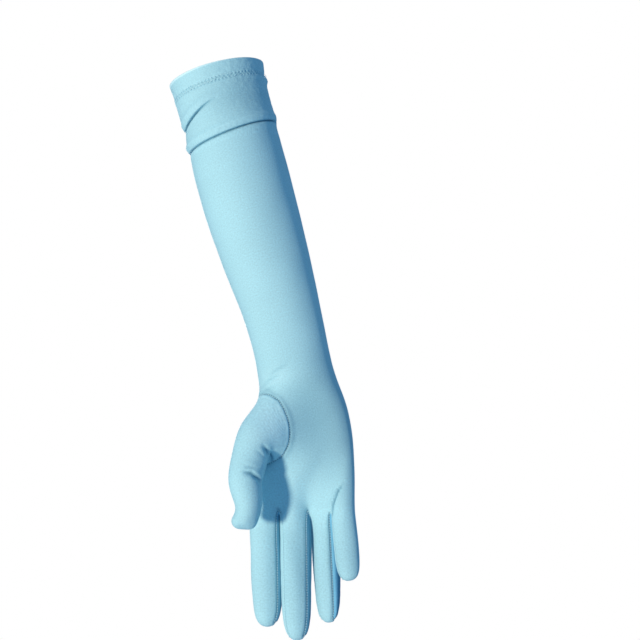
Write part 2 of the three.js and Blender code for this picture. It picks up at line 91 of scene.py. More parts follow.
palm_rows = table("down left right front back layout", [
    (0.17, 0.38, 0.445, 0.63, 0.62, 0.0),
    (0.33, 0.40, 0.495, 0.57, 0.57, 0.0),
    (0.47, 0.42, 0.520, 0.53, 0.53, 0.0),
    (0.63, 0.43, 0.533, 0.50, 0.49, 0.1),
    (0.81, 0.46, 0.538, 0.46, 0.43, 0.6),
])
fingers = table("name across wide forward deep long drift reach curl roll", [
    ("index", -0.317, 0.292, -0.14, 1.00, 0.905, 0.040, 0.09, 0.010, 0),
    ("middle", -0.030, 0.282, 0.06, 1.00, 1.000, 0.030, 0.12, 0.015, 0),
    ("ring", 0.246, 0.262, -0.06, 0.96, 0.870, 0.040, 0.10, 0.015, -30),
    ("little", 0.424, 0.232, 0.72, 0.86, 0.530, 0.055, 0.16, 0.020, -14),
])
finger_sections = table("along wide deep seam", [
    (0.00, 1.00, 1.05, 40),
    (0.13, 1.00, 1.00, 37),
    (0.42, 1.00, 0.97, 37),
    (0.70, 0.96, 0.92, 35),
    (0.89, 0.84, 0.78, 29),
    (0.985, 0.50, 0.46, 16),
])
thumb_sections = table("across down forward wide deep tilt pitch", [
    (-0.014, -0.008, 0.000, 1.20, 1.22, 43, 26),
    (-0.054, 0.179, 0.060, 1.08, 1.12, 25, 20),
    (-0.087, 0.340, 0.115, 1.02, 1.04, 8, 15),
    (-0.096, 0.457, 0.150, 0.94, 1.00, 0, 11),
    (-0.056, 0.586, 0.172, 0.86, 0.96, -4, 6),
    (-0.044, 0.700, 0.184, 0.68, 0.90, 4, 3),
    (-0.098, 0.815, 0.190, 0.76, 0.76, 8, 2),
])
finger_tip_along = 1.02
thumb_root = {"across": -0.372, "down": 0.479, "forward": 0.62}
thumb_tip = {"across": -0.118, "down": 0.885, "forward": 0.192}
thumb_seam = {"down": 0.396, "tall": 0.262, "angle": 226}
front_reach, back_reach, low_skew = 31.5, 74, 7
thumb_swell, thumb_side_place, thumb_front_place = 0.45, 1.5, 4.5
print("rings:", len(sleeve_rows) + len(palm_rows) + 2, "in the sleeve and palm")

# %% [markdown]
# Every ring is placed along one middle line, which runs straight down the sleeve and
# turns a little towards the thumb at the wrist. Subdivision pulls a cage inwards, so
# each ring is drawn larger by a factor that depends on how many sides it has.

# %% Middle line
back_direction = np.array([0.0, 1.0, 0.0])


def hold_factor(sides):
    return 3 / (2 + math.cos(2 * math.pi / sides))


def middle_line(distance):
    turn_start = sleeve_length - lean_run / 2
    radius = lean_run / hand_lean
    turned = min(max((distance - turn_start) / lean_run, 0), 1) * hand_lean
    past = max(0.0, distance - turn_start - lean_run)
    down = np.array([-math.sin(turned), 0, -math.cos(turned)])
    across = np.array([math.cos(turned), 0, -math.sin(turned)])
    centre = np.array([
        -radius * (1 - math.cos(turned)), 0,
        -min(distance, turn_start) - radius * math.sin(turned),
    ])
    return centre + down * past, across, down


def place(distance, across, back):
    centre, sideways, _ = middle_line(distance)
    return centre + sideways * across + back_direction * back


def hand_directions(tilt):
    _, across, down = middle_line(sleeve_length + palm_length)
    c, s = math.cos(math.radians(tilt)), math.sin(math.radians(tilt))
    return across * c + down * s, down * c - across * s


print("wrist turn:", round(math.degrees(hand_lean), 1), "degrees")

# %% [markdown]
# The sleeve's rings are ovals that narrow towards the wrist. The cuff's rim is slanted.
# In two places a row stands out above one that sinks in, which gives the two soft folds.

# %% Sleeve rings
def ring_angle(i):
    return 180 + i * 360 / ring_size


def sleeve_point(row, i, distance, slanted):
    angle = math.radians(ring_angle(i))
    cosine, sine = math.cos(angle), math.sin(angle)
    thumb_side = max(0.0, -cosine) ** 2
    flare = (cuff_width - forearm_width) * row["flare"]
    wide = wrist_width + (forearm_width - wrist_width) * row["fullness"] + flare
    deep = wrist_depth + (forearm_depth - wrist_depth) * row["fullness"] + flare
    hold = hold_factor(ring_size)
    raised = row["ridge"] * fold_height * (thumb_side if row["partial"] else 1)
    slant = slanted * math.tan(math.radians(cuff_slant)) * deep / 2 * sine
    sag = row["dip"] * (sleeve_length - hem_depth) * thumb_side
    return place(
        distance + sag - slant,
        wide / 2 * hold * cosine + raised * cosine + row["shift"] * forearm_width,
        deep / 2 * hold * sine + raised * sine,
    )


def sleeve_ring_rows():
    """Each ring of the sleeve with its distance below the rim."""
    rings = []
    for share in (0, 0.5):
        row = dict(sleeve_rows[0], flare=1 + (sleeve_rows[0]["flare"] - 1) * share)
        distance = share * hem_depth
        rings.append((distance, [sleeve_point(row, i, distance, 1) for i in range(ring_size)]))
    for row in sleeve_rows:
        distance = hem_depth + row["along"] * (sleeve_length - hem_depth)
        slanted = max(0, 1 - row["along"] / slant_fade)
        ring = [sleeve_point(row, i, distance, slanted) for i in range(ring_size)]
        rings.append((distance, ring))
    return rings


print("sleeve rings:", len(sleeve_ring_rows()))

# %% [markdown]
# The palm is a flattened oval with a slight hollow on its front. Four of its rows share
# points with the oval seam that sets the thumb in, so that the seam is a clean loop of
# edges instead of a line cut across faces.

# %% Palm rings
wrist_shift = sleeve_rows[-1]["shift"] * forearm_width
palm_outline = [{
    "down": 0,
    "left": (wrist_width / 2 - wrist_shift) / palm_width,
    "right": (wrist_width / 2 + wrist_shift) / palm_width,
    "front": wrist_depth / 2 / palm_depth,
    "back": wrist_depth / 2 / palm_depth,
}] + palm_rows
seam_ring_places = [
    {19: 0, 0: 1, 1: 2, 2: 3},
    {19: 11, 2: 4},
    {19: 10, 2: 5},
    {19: 9, 0: 8, 1: 7, 2: 6},
]


def palm_point(down, angle_degrees):
    last = len(palm_outline) - 1
    after = next((n for n, row in enumerate(palm_outline) if row["down"] >= down), last)
    before, row = palm_outline[max(after, 1) - 1], palm_outline[max(after, 1)]
    share = (down - before["down"]) / (row["down"] - before["down"])
    left, right, front, back = (
        before[c] + (row[c] - before[c]) * share for c in ("left", "right", "front", "back")
    )
    cosine = math.cos(math.radians(angle_degrees))
    sine = math.sin(math.radians(angle_degrees))
    flatness = 2 / palm_squareness
    across_share = math.copysign(abs(cosine) ** flatness, cosine)
    back_share = math.copysign(abs(sine) ** flatness, sine)
    depth = (back if back_share > 0 else front) * palm_depth
    hollow = palm_hollow * math.sin(math.pi * min(max(down, 0), 1))
    hollow *= max(0.0, -back_share) ** hollow_narrowness
    hold = hold_factor(ring_size)
    middle, half_width = (right - left) / 2 * palm_width, (right + left) / 2 * palm_width
    across = middle + half_width * hold * across_share
    return place(sleeve_length + down * palm_length, across, depth * hold * back_share + hollow)


def thumb_seam_place(j):
    turn = math.radians((j - thumb_front_place) * 360 / thumb_ring_size)
    reach = front_reach if math.cos(turn) > 0 else back_reach
    angle = thumb_seam["angle"] + reach * math.cos(turn) + low_skew * max(0, math.sin(turn))
    return thumb_seam["down"] + thumb_seam["tall"] * math.sin(turn), angle


def palm_ring(r, row, layout_ring):
    places = seam_ring_places[r] if r < len(seam_ring_places) else {}
    front_angle = thumb_seam_place(places[2])[1] if places else ring_angle(2)
    back_angle = thumb_seam_place(places[19])[1] if places else ring_angle(19) - 360
    ring = []
    for i in range(ring_size):
        if i in places:
            ring.append(palm_point(*thumb_seam_place(places[i])))
            continue
        if 2 <= i <= little_side:
            angle = front_angle + (360 - front_angle) * (i - 2) / (little_side - 2)
        elif i > little_side:
            angle = back_angle * (i - little_side) / (ring_size - 1 - little_side)
        else:
            angle = ring_angle(i)
        raised = -(1 - row["down"]) * palm_length
        laid = layout_ring[i] + hand_directions(0)[1] * raised
        point = palm_point(row["down"], angle)
        ring.append(point + (laid - point) * row["layout"])
    return ring


print("palm rings on the thumb's seam:", len(seam_ring_places))

# %% [markdown]
# A finger is a row of rounded sections. Two of its eight points on each side lie on the
# seams of the narrow side wall, so their angle is a column of the table.

# %% Finger and thumb rings
def finger_point(finger, section, angle_degrees):
    length = finger["long"] * finger_length
    along = section["along"]
    lean = math.degrees(math.atan2(finger["drift"] * finger_length, length))
    turned, down = hand_directions(-lean)
    roll = math.radians(finger["roll"])
    across = turned * math.cos(roll) + back_direction * math.sin(roll)
    back = -np.cross(down, across)
    bow = 4 * along * (1 - along) * finger["curl"] * finger_length
    reach = finger["reach"] * finger_length * along ** 2
    centre = place(
        sleeve_length + palm_length + along * length,
        finger["across"] * palm_width + finger["drift"] * finger_length * along,
        -(finger["forward"] * finger_depth + reach + bow),
    )
    hold = hold_factor(finger_ring_size)
    half_width = (finger["wide"] * palm_width - finger_gap) / 2 * section["wide"] * hold
    half_depth = finger["deep"] * finger_depth / 2 * section["deep"] * hold
    angle = math.radians(angle_degrees)
    return centre + across * half_width * math.cos(angle) + back * half_depth * math.sin(angle)


def finger_ring(finger, section):
    seam = section["seam"]
    angles = (180, 180 + seam, 270, 360 - seam, 0, seam, 90, 180 - seam)
    return [finger_point(finger, section, angle) for angle in angles]


def thumb_centre(section):
    return place(
        sleeve_length + thumb_root["down"] * palm_length + section["down"] * thumb_length,
        thumb_root["across"] * palm_width + section["across"] * thumb_length,
        -thumb_root["forward"] * palm_depth - section["forward"] * thumb_length,
    )


def thumb_ring(section):
    across, down = hand_directions(section["tilt"])
    pitch = math.radians(section["pitch"])
    back = back_direction * math.cos(pitch) + down * math.sin(pitch)
    hold = hold_factor(thumb_ring_size)
    ring = []
    for j in range(thumb_ring_size):
        angle = math.radians(180 + (j - thumb_side_place) * 360 / thumb_ring_size)
        ring.append(
            thumb_centre(section)
            + across * thumb_width / 2 * section["wide"] * hold * math.cos(angle)
            + back * thumb_depth / 2 * section["deep"] * hold * math.sin(angle)
        )
    return ring


def finger_layout():
    """The ring where the fingers start, and the points in the crotches between them."""
    bases = [finger_ring(finger, finger_sections[0]) for finger in fingers]
    ring, crotches = [None] * ring_size, {}
    for k, base in enumerate(bases):
        ring[2 * k + 2] = base[2]
        ring[18 - 2 * k] = base[6]
        if k > 0:
            before = bases[k - 1]
            ring[2 * k + 1] = (before[3] + base[1]) / 2
            ring[19 - 2 * k] = (before[5] + base[7]) / 2
            crotches[k] = (before[4] + base[0]) / 2
    ring[0], ring[1], ring[19] = bases[0][0], bases[0][1], bases[0][7]
    ring[9], ring[10], ring[11] = bases[-1][3], bases[-1][4], bases[-1][5]
    return ring, crotches


print("crotches between the fingers:", len(finger_layout()[1]))

# %% [markdown]
# The cage is put together face by face. Each face knows its piece of cloth, as the
# number of its material slot, and a place in a flat map of the cloth: across the wales
# and along them, both in units of 100 mm. The map lets the knit run down each finger.

# %% Cage
cloths = ["cuff_hem", "hand_and_sleeve", "thumb"] + [
    f"fourchette_{a['name']}_{b['name']}" for a, b in zip(fingers, fingers[1:])
]
hem, trunk, thumb = 0, 1, 2
map_unit, sleeve_pitch, finger_pitch, thumb_pitch = 100, 10.0, 7.2, 6.0
cage_points, cage_faces, face_cloths, face_maps = [], [], [], []


def add_points(points):
    start = len(cage_points)
    cage_points.extend(points)
    return list(range(start, start + len(points)))


def add_band(upper, lower, cloth_of, down, pitch, skipped=()):
    top, low = down[0] / map_unit, down[1] / map_unit
    for i in range(len(upper)):
        if i in skipped:
            continue
        n = (i + 1) % len(upper)
        cage_faces.append((upper[i], lower[i], lower[n], upper[n]))
        face_cloths.append(cloth_of(i))
        left, right = i * pitch / map_unit, (i + 1) * pitch / map_unit
        face_maps.append(((left, top), (left, low), (right, low), (right, top)))


def add_cap(ring, tip, cloth, down, pitch):
    count = len(ring)
    top, low = down / map_unit, (down + pitch) / map_unit
    for i in range(0, count, 2):
        cage_faces.append((ring[i], tip, ring[(i + 2) % count], ring[(i + 1) % count]))
        face_cloths.append(cloth)
        left, middle, right = ((i + n) * pitch / map_unit for n in range(3))
        face_maps.append(((left, top), (middle, low), (right, top), (middle, top)))


def finger_cloth(k, i):
    if i in (3, 4) and k < len(fingers) - 1:
        return thumb + 1 + k
    if i in (0, 7) and k > 0:
        return thumb + k
    return trunk


layout_ring, crotches = finger_layout()
rows = sleeve_ring_rows()
hem_bands, thumb_start = 2, len(rows)
for r, row in enumerate(palm_rows):
    rows.append((sleeve_length + row["down"] * palm_length, palm_ring(r, row, layout_ring)))
rows.append((sleeve_length + palm_length, layout_ring))
ring_ids = [add_points(ring) for _, ring in rows]
for r in range(len(rows) - 1):
    beside_thumb = thumb_start <= r < thumb_start + len(seam_ring_places) - 1
    cloth = hem if r < hem_bands else trunk
    skipped = (0, 1, ring_size - 1) if beside_thumb else ()
    down = (rows[r][0], rows[r + 1][0])
    add_band(ring_ids[r], ring_ids[r + 1], lambda i: cloth, down, sleeve_pitch, skipped)

crotch_ids = {k: add_points([point])[0] for k, point in crotches.items()}
for k, finger in enumerate(fingers):
    last = ring_ids[-1]
    upper = [
        crotch_ids.get(k, last[0]), last[2 * k + 1], last[2 * k + 2], last[2 * k + 3],
        crotch_ids.get(k + 1, last[little_side]), last[17 - 2 * k], last[18 - 2 * k],
        last[(19 - 2 * k) % ring_size],
    ]
    length = finger["long"] * finger_length
    for before, section in zip(finger_sections, finger_sections[1:]):
        lower = add_points(finger_ring(finger, section))
        down = [sleeve_length + palm_length + s["along"] * length for s in (before, section)]
        add_band(upper, lower, lambda i: finger_cloth(k, i), down, finger_pitch)
        upper = lower
    tip_section = {"along": finger_tip_along, "wide": 0, "deep": 0}
    tip = add_points([finger_point(finger, tip_section, 0)])[0]
    add_cap(upper, tip, trunk, down[1], finger_pitch)

seam_loop = [None] * thumb_ring_size
for r, places in enumerate(seam_ring_places):
    for i, j in places.items():
        seam_loop[j] = ring_ids[thumb_start + r][i]
thumb_rings = [thumb_ring(section) for section in thumb_sections]
seam_points = [cage_points[v] for v in seam_loop]
swell_ring = [a + (b - a) * thumb_swell for a, b in zip(seam_points, thumb_rings[0])]
upper, reached = seam_loop, 0.0
for ring in [swell_ring] + thumb_rings:
    upper_middle = np.mean([cage_points[v] for v in upper], axis=0)
    lower = add_points(ring)
    step = float(np.linalg.norm(np.mean(ring, axis=0) - upper_middle))
    add_band(upper, lower, lambda i: thumb, (reached, reached + step), thumb_pitch)
    upper, reached = lower, reached + step
add_cap(upper, add_points([thumb_centre(thumb_tip)])[0], thumb, reached, thumb_pitch)
print("cage:", len(cage_points), "points and", len(cage_faces), "faces")

# %% [markdown]
# Blender's Subdivision Surface modifier rounds the cage. It keeps each face's material
# slot and stretches the cloth map along, so the pieces stay separable. The modifier is
# applied by reading the evaluated mesh back.

# %% Smooth skin
def new_object(name, data):
    made = bpy.data.objects.new(name, data)
    scene.collection.objects.link(made)
    return made


cage_mesh = bpy.data.meshes.new("cage")
cage_mesh.from_pydata([tuple(point) for point in cage_points], [], cage_faces)
cage_mesh.polygons.foreach_set("material_index", face_cloths)
cloth_map = cage_mesh.uv_layers.new(name="cloth_map")
cloth_map.data.foreach_set("uv", np.array(face_maps, dtype=np.float32).ravel())
for name in cloths:
    cage_mesh.materials.append(bpy.data.materials.new("slot_" + name))
cage_object = new_object("cage", cage_mesh)
rounding = cage_object.modifiers.new("rounding", "SUBSURF")
rounding.levels = rounding.render_levels = 3
rounding.quality = 4
rounding.uv_smooth = "NONE"
skin = bpy.data.meshes.new_from_object(
    cage_object.evaluated_get(bpy.context.evaluated_depsgraph_get())
)
bpy.data.objects.remove(cage_object)
print("skin:", len(skin.vertices), "points")

# %% [markdown]
# Small creases need small faces, but only where they are. The faces at the cuff, at the
# wrist and round the thumb's root are split once more, and the rest stays as it is.

# %% Finer faces where the creases are
fine_boxes = [
    {"low": (-40, -40, -61), "high": (40, 3, -5)},
    {"low": (-34, -40, -266), "high": (16, 2, -206)},
    {"low": (-62, -60, -318), "high": (-14, -16, -262)},
]


def in_box(point, box):
    return all(low <= value <= high for value, low, high in zip(point, box["low"], box["high"]))


net = bmesh.new()
net.from_mesh(skin)
fine_edges = [
    edge for edge in net.edges
    if any(all(in_box(v.co, box) for v in edge.verts) for box in fine_boxes)
]
bmesh.ops.subdivide_edges(net, edges=fine_edges, cuts=1, use_grid_fill=True)
net.to_mesh(skin)
net.free()
print("skin with fine parts:", len(skin.vertices), "points")

# %% [markdown]
# From here on the skin is a set of arrays: points, outward normals and faces. Each
# point also knows the pieces of cloth that it belongs to and how far off the nearest
# seam is, because seams and the cloth beside them are treated in their own way.

# %% Skin as arrays
skin_points = np.empty(len(skin.vertices) * 3)
skin.vertices.foreach_get("co", skin_points)
skin_points = skin_points.reshape(-1, 3)
skin_normals = np.array([v.vector for v in skin.vertex_normals])
skin_faces = [tuple(face.vertices) for face in skin.polygons]
skin_cloths = np.array([face.material_index for face in skin.polygons])
skin_maps = np.array([tuple(d.uv) for d in skin.uv_layers["cloth_map"].data])
face_starts = np.array([face.loop_start for face in skin.polygons])

cloths_at = [set() for _ in skin_points]
for face, cloth in zip(skin_faces, skin_cloths):
    for v in face:
        cloths_at[v].add(int(cloth))
on_thumb = np.array([cloths_at[v] == {thumb} for v in range(len(skin_points))])
on_trunk = np.array([trunk in cloths_at[v] for v in range(len(skin_points))])
seam_ids = [v for v, near in enumerate(cloths_at) if len(near) > 1]
seam_tree = kdtree.KDTree(len(seam_ids))
for n, v in enumerate(seam_ids):
    seam_tree.insert(skin_points[v], n)
seam_tree.balance()
seam_distance = np.array([seam_tree.find(point)[2] for point in skin_points])
print("seam points:", len(seam_ids))

# %% [markdown]
# A crease is a sunken line with a raised rim on one side. It is measured in a chart,
# which is a flat picture of the surface: for the sleeve, the angle round the arm and the
# distance below the rim; for the hand, the way across and down a drawing of its front.

# %% Charts and the shape of a crease
arm_middle = -1.2
rim_rise_back, rim_rise_outside = 4.8, 1.1
slow_side, rim_place, crease_reach = 2.2, 1.5, 6


def bell(away, width):
    """A share that is 1 in the middle and fades out over a width."""
    return np.exp(-((away / width) ** 2))


def faded_ends(along, ends):
    """A share that rises from 0 at either end of a line to 1."""
    return np.clip(along / ends, 0, 1) * np.clip((1 - along) / ends, 0, 1)


def sleeve_chart(points):
    """The angle round the arm, as millimetres at the forearm, and the way below the rim."""
    angle = np.arctan2(points[:, 1], points[:, 0] - arm_middle)
    angle = np.where(angle < 0, angle + 2 * np.pi, angle)
    rim = rim_rise_back * np.sin(angle) + rim_rise_outside * np.cos(angle)
    return np.stack([angle * forearm_width / 2, rim - points[:, 2]], axis=1)


def to_line(chart, line):
    """The signed distance to a broken line, and how far along it, from 0 to 1."""
    line = np.array(line, dtype=float)
    lengths = np.linalg.norm(np.diff(line, axis=0), axis=1)
    starts = np.concatenate([[0], np.cumsum(lengths)])
    best, signed, along = np.full(len(chart), 1e9), np.zeros(len(chart)), np.zeros(len(chart))
    for a, b, length, start in zip(line, line[1:], lengths, starts):
        way = (b - a) / length
        away = chart - a
        t = np.clip(away @ way, 0, length)
        off = away - t[:, None] * way
        distance = np.linalg.norm(off, axis=1)
        side = np.sign(way[0] * away[:, 1] - way[1] * away[:, 0])
        nearer = distance < best
        best = np.where(nearer, distance, best)
        signed = np.where(nearer, distance * side, signed)
        along = np.where(nearer, (start + t) / starts[-1], along)
    return signed, along


def crease(chart, line, depth, width, rim, rim_width, ends):
    """How far a crease lifts each point. Its raised rim is on the left of the line."""
    signed, along = to_line(chart, line)
    inside = np.abs(signed) < crease_reach * max(width, rim_width)
    sunk = bell(signed, np.where(signed > 0, slow_side * width, width))
    raised = bell(signed + rim_place * rim_width, rim_width) * rim
    return np.where(inside, (raised - depth * sunk) * faded_ends(along, ends), 0)


def painted_crease_shade(chart, line, width, ends):
    """How much painted shade darkens the cloth in a crease, from 0 to 1."""
    signed, along = to_line(chart, line)
    return faded_ends(along, ends) * bell(signed, width)


print("the forearm's chart is", round(math.pi * forearm_width, 1), "mm wide")

# %% [markdown]
# Two folds lie across the upper sleeve, where the knit has slid down the arm: a short
# one on the thumb's side and a long one right across. In each the cloth above hangs
# over the cloth below, which makes a thin dark line under a bright roll, and painted
# shade darkens that line further.

# %% Folds in the sleeve
sleeve_end = 214
overhang_width, overhang_edge = 1.3, 0.3
fold_width, fold_rim_width, fold_shade_width, fold_painted_shade = 0.6, 2.5, 0.85, 0.9
upper_height, upper_drop, lower_height, lower_drop = 25.5, 11, 51.5, 2.2
sleeve = sleeve_chart(skin_points)
round_step = forearm_width / 2 * math.pi / 180
in_sleeve = skin_points[:, 2] > -sleeve_end


def round_line(first, last, height, steps=24):
    """A line round the sleeve, from one angle to another, at a height below the rim."""
    angles = np.linspace(first, last, steps)
    return [(angle * round_step, height(math.radians(angle))) for angle in angles]


def overhang(chart, line, reach, ends):
    """How far the roll above a fold slides down over it."""
    signed, along = to_line(chart, line)
    roll = bell(signed + overhang_width, overhang_width) * (signed < overhang_edge)
    return reach * faded_ends(along, ends) * roll


lift = np.zeros(len(skin_points))
slide = np.zeros(len(skin_points))
# painted light and shade of each point: above zero painted shade, below zero painted highlight
painted_light_and_shade = np.zeros(len(skin_points))
upper_fold = round_line(
    160, 266, lambda a: upper_height + upper_drop * max(0, -math.cos(a)) ** 2
)
lower_fold = round_line(120, 368, lambda a: lower_height - lower_drop * math.cos(a), 40)
sleeve_folds = table("line deep raised reach ends", [
    (upper_fold, 2.3, 1.3, 1.2, 0.35),
    (lower_fold, 2.1, 1.5, 1.1, 0.10),
])
for row in sleeve_folds:
    line, ends = row["line"], row["ends"]
    lift += in_sleeve * crease(
        sleeve, line, row["deep"], fold_width, row["raised"], fold_rim_width, ends
    )
    slide += in_sleeve * overhang(sleeve, line, row["reach"], ends)
    # painted shade along each fold's line, where shade falls in the crease
    painted_light_and_shade += fold_painted_shade * in_sleeve * painted_crease_shade(sleeve, line, fold_shade_width, ends)
print("deepest fold:", round(float(lift.min()), 2), "mm")

# %% [markdown]
# The knit also puckers along each line of stitches, and it is never perfectly even. A
# smooth random function gives both: a low swell all over, and small puckers that fade
# with the distance from the nearest seam. Each stitch of the hem's two rows pulls in a
# dimple, darkened with painted shade, and on the arm's outer side the cloth bulges a
# little below them.

# %% Puckers and unevenness
swell_size, swell_height = 21.0, 0.35
pucker_size, pucker_height, pucker_reach = 3.1, 0.30, 3.0
groove_depth, groove_width = 0.45, 0.9
ridge_height, ridge_place, ridge_width = 0.16, 2.2, 1.1
dimple_step, dimple_depth, dimple_tall = 3.0, 0.40, 0.8
loose_depth, loose_height = 60, 0.12
finger_start, thumb_side_limit = 326, -0.15
bulge_place, bulge_width = 36, 7

swell = np.array([noise.noise(Vector(p) / swell_size) for p in skin_points])
pucker = np.array([noise.noise(Vector(p) / pucker_size) for p in skin_points])
below_rim = sleeve[:, 1]
side_facing = skin_normals @ hand_directions(0)[0]
on_fingers = skin_points[:, 2] < -finger_start
quiet = on_fingers & (side_facing < thumb_side_limit)
sewn = np.where(in_sleeve | quiet, 0.0, 1.0)
lift += swell_height * swell
lift += pucker_height * pucker * np.exp(-seam_distance / pucker_reach)
lift -= groove_depth * sewn * bell(seam_distance, groove_width)
lift += ridge_height * sewn * bell(seam_distance - ridge_place, ridge_width)
lift += loose_height * pucker * in_sleeve * (below_rim < loose_depth)
for row in table("below shift", [(0.4, 0.0), (2.4, 0.5)]):
    waves = np.sin(2 * math.pi * (sleeve[:, 0] / dimple_step + row["shift"]))
    in_row = in_sleeve * bell(below_rim - (hem_depth + row["below"]), dimple_tall)
    dimples = (0.5 + 0.5 * waves) * in_row
    lift -= dimple_depth * dimples
    # painted shade: each dimple is darkened as if shade fell in it
    painted_light_and_shade += dimple_depth * dimples
bulge_side = bell(skin_points[:, 0] - bulge_place, bulge_width) * in_sleeve
for row in table("below tall high", [(15.5, 2.4, 1.3), (10.0, 1.8, -0.7)]):
    lift += row["high"] * bulge_side * bell(below_rim - row["below"], row["tall"])
print("lift from", round(float(lift.min()), 2), "to", round(float(lift.max()), 2), "mm")

# %% [markdown]
# Painted shade gives each seam a thin dark line in a soft halo, a painted highlight
# makes the turned rim of the cuff paler, and painted shade turns the side walls between
# the fingers a stronger blue where they face the little finger, away from the key light.
# Each point carries this painted light and shade as two numbers, which the material reads.

# %% Painted shade and highlight at seams, rim and side walls
line_width, halo_painted_shade, halo_width = 0.6, 0.2, 3.5
rim_painted_highlight, rim_tone_width = 0.8, 0.7
wall_start, wall_blend = -0.15, 0.3
far_wall_start, far_wall_blend, far_wall_painted_shade = 0.55, 0.25, 0.9

# painted shade: a thin dark line along each seam, and a soft halo on the palm
seam_painted_shade = np.where(on_fingers, 0.35, 0.5)
painted_light_and_shade += seam_painted_shade * sewn * bell(seam_distance, line_width)
painted_light_and_shade += halo_painted_shade * sewn * on_trunk * bell(seam_distance, halo_width)
# painted highlight on the turned rim of the cuff
painted_light_and_shade -= rim_painted_highlight * in_sleeve * bell(below_rim, rim_tone_width)
# painted shade: side walls facing the little finger, away from the key light, turn a darker blue
wall_painted_shade = np.clip((side_facing - wall_start) / wall_blend, 0, 1)
in_walls = np.array([min(near, default=0) > thumb for near in cloths_at])
far_wall = np.clip((side_facing - far_wall_start) / far_wall_blend, 0, 1)
# painted shade deep in the gaps between the fingers
painted_light_and_shade += far_wall_painted_shade * in_walls * far_wall
print("points in the side walls:", int(in_walls.sum()))

# %% [markdown]
# At the wrist, along the thumb and at the root of the little finger the knit wrinkles
# where the hand bends, and painted shade darkens each wrinkle. These lines are drawn on a
# front view of the glove, in millimetres across and below the origin, and only the palm's
# side takes part.

# %% Wrinkles of the hand
palm_side_start, palm_side_blend = 0.05, 0.3
wrinkle_rim_width, wrinkle_ends, wrinkle_painted_shade = 1.4, 0.35, 0.6
front = np.stack([skin_points[:, 0], -skin_points[:, 2]], axis=1)
palm_side = np.clip((-skin_normals[:, 1] - palm_side_start) / palm_side_blend, 0, 1)
hand_creases = table("line deep wide rim where", [
    ([(-26.4, 237.4), (-19.5, 235.2), (-10.0, 234.4)], 0.55, 0.85, 0.50, on_trunk),
    ([(-21.9, 233.7), (-13.4, 230.6), (-2.3, 228.1)], 0.45, 0.90, 0.40, on_trunk),
    ([(-30.4, 243.4), (-22.4, 241.1), (-12.6, 240.6)], 0.35, 0.90, 0.50, on_trunk),
    ([(-34.6, 277.6), (-32.3, 283.3), (-31.8, 288.0), (-33.2, 293.0)], 1.50, 0.90, 0.15, on_thumb),
    ([(-39.6, 280.5), (-36.6, 284.4), (-34.5, 289.2)], 0.40, 0.65, 0.10, on_thumb),
    ([(-51.8, 292.6), (-45.3, 295.4), (-42.0, 299.7), (-40.8, 305.0)], 1.60, 0.90, 0.25, on_thumb),
    ([(-50.0, 289.6), (-45.6, 291.3), (-41.0, 293.0)], 0.45, 1.00, 0.20, on_thumb),
    ([(12.9, 316.9), (5.7, 321.9), (0.0, 329.8), (-2.5, 338.0)], 2.10, 0.90, 0.50, on_trunk),
])
for row in hand_creases:
    where, line, deep, wide = palm_side * row["where"], row["line"], row["deep"], row["wide"]
    lift += where * crease(front, line, deep, wide, row["rim"], wrinkle_rim_width, wrinkle_ends)
    # painted shade in each wrinkle
    painted_light_and_shade += wrinkle_painted_shade * deep * where * painted_crease_shade(front, line, wide, wrinkle_ends)
print("creases in the hand:", len(hand_creases))

# %% [markdown]
# Soft forms fill out the thumb's root and hollow the palm. Spots of painted shade darken
# the cuff, the palm and the fingers, and spots of painted highlight make the thumb's root
# and the wrist paler. The cloth in the crotch between middle and ring finger stands out a
# little. The thumb ends bluntly, between two corners.

# %% Soft forms, painted shade and painted highlight of the hand
crotch_lift, crotch_place, crotch_tall = 0.7, 346.5, 15
corner_size = 5


def soft_spot(row):
    """A share from 0 to 1 that fades out round a place on the palm's side."""
    away = (front - np.array(row["at"])) / np.array([row["across"], row["down"]])
    return palm_side * np.exp(-(away ** 2).sum(axis=1))


soft_forms = table("at across down high", [
    ((-16.3, 268.3), 11, 21, 2.8),
    ((5.3, 278.3), 14, 25, -1.4),
    ((-3.7, 316.6), 15, 11, 0.8),
    ((-27.1, 263.1), 9.7, 16.6, 0.6),
    ((-24.4, 276.4), 7.6, 11, 1.4),
])
for row in soft_forms:
    lift += row["high"] * soft_spot(row)
painted_shade_and_highlight_spots = table("at across down dark where", [
    ((8.6, 31.0), 23.5, 14, 0.24, in_sleeve),
    ((4.9, 269.6), 23, 32, 0.50, on_trunk),
    ((-30.0, 372.0), 45, 30, 0.14, on_trunk),
    ((-32.7, 355.6), 6, 23.5, 0.22, on_trunk),
    ((-25.4, 267.7), 14, 18, -0.30, on_thumb),
    ((-12.0, 236.0), 13, 8, -0.22, on_trunk),
])
# spots of painted shade, and of painted highlight where the value is below zero
for row in painted_shade_and_highlight_spots:
    painted_light_and_shade += row["dark"] * row["where"] * soft_spot(row)
painted_light_and_shade = np.clip(painted_light_and_shade, -1, 1)

middle_ring = cloths.index("fourchette_middle_ring")
in_crotch = np.array([middle_ring in near for near in cloths_at])
lift += crotch_lift * in_crotch * bell(front[:, 1] - crotch_place, crotch_tall)
thumb_corners = table("at high", [
    ((-65.0, -33.0, -327.0), 1.9),
    ((-55.5, -32.0, -330.5), 2.0),
])
for row in thumb_corners:
    from_corner = np.linalg.norm(skin_points - np.array(row["at"]), axis=1)
    lift += row["high"] * on_thumb * bell(from_corner, corner_size)
dressed_points = skin_points + skin_normals * lift[:, None]
dressed_points[:, 2] -= slide
print("soft forms and tones:", len(soft_forms) + len(painted_shade_and_highlight_spots))

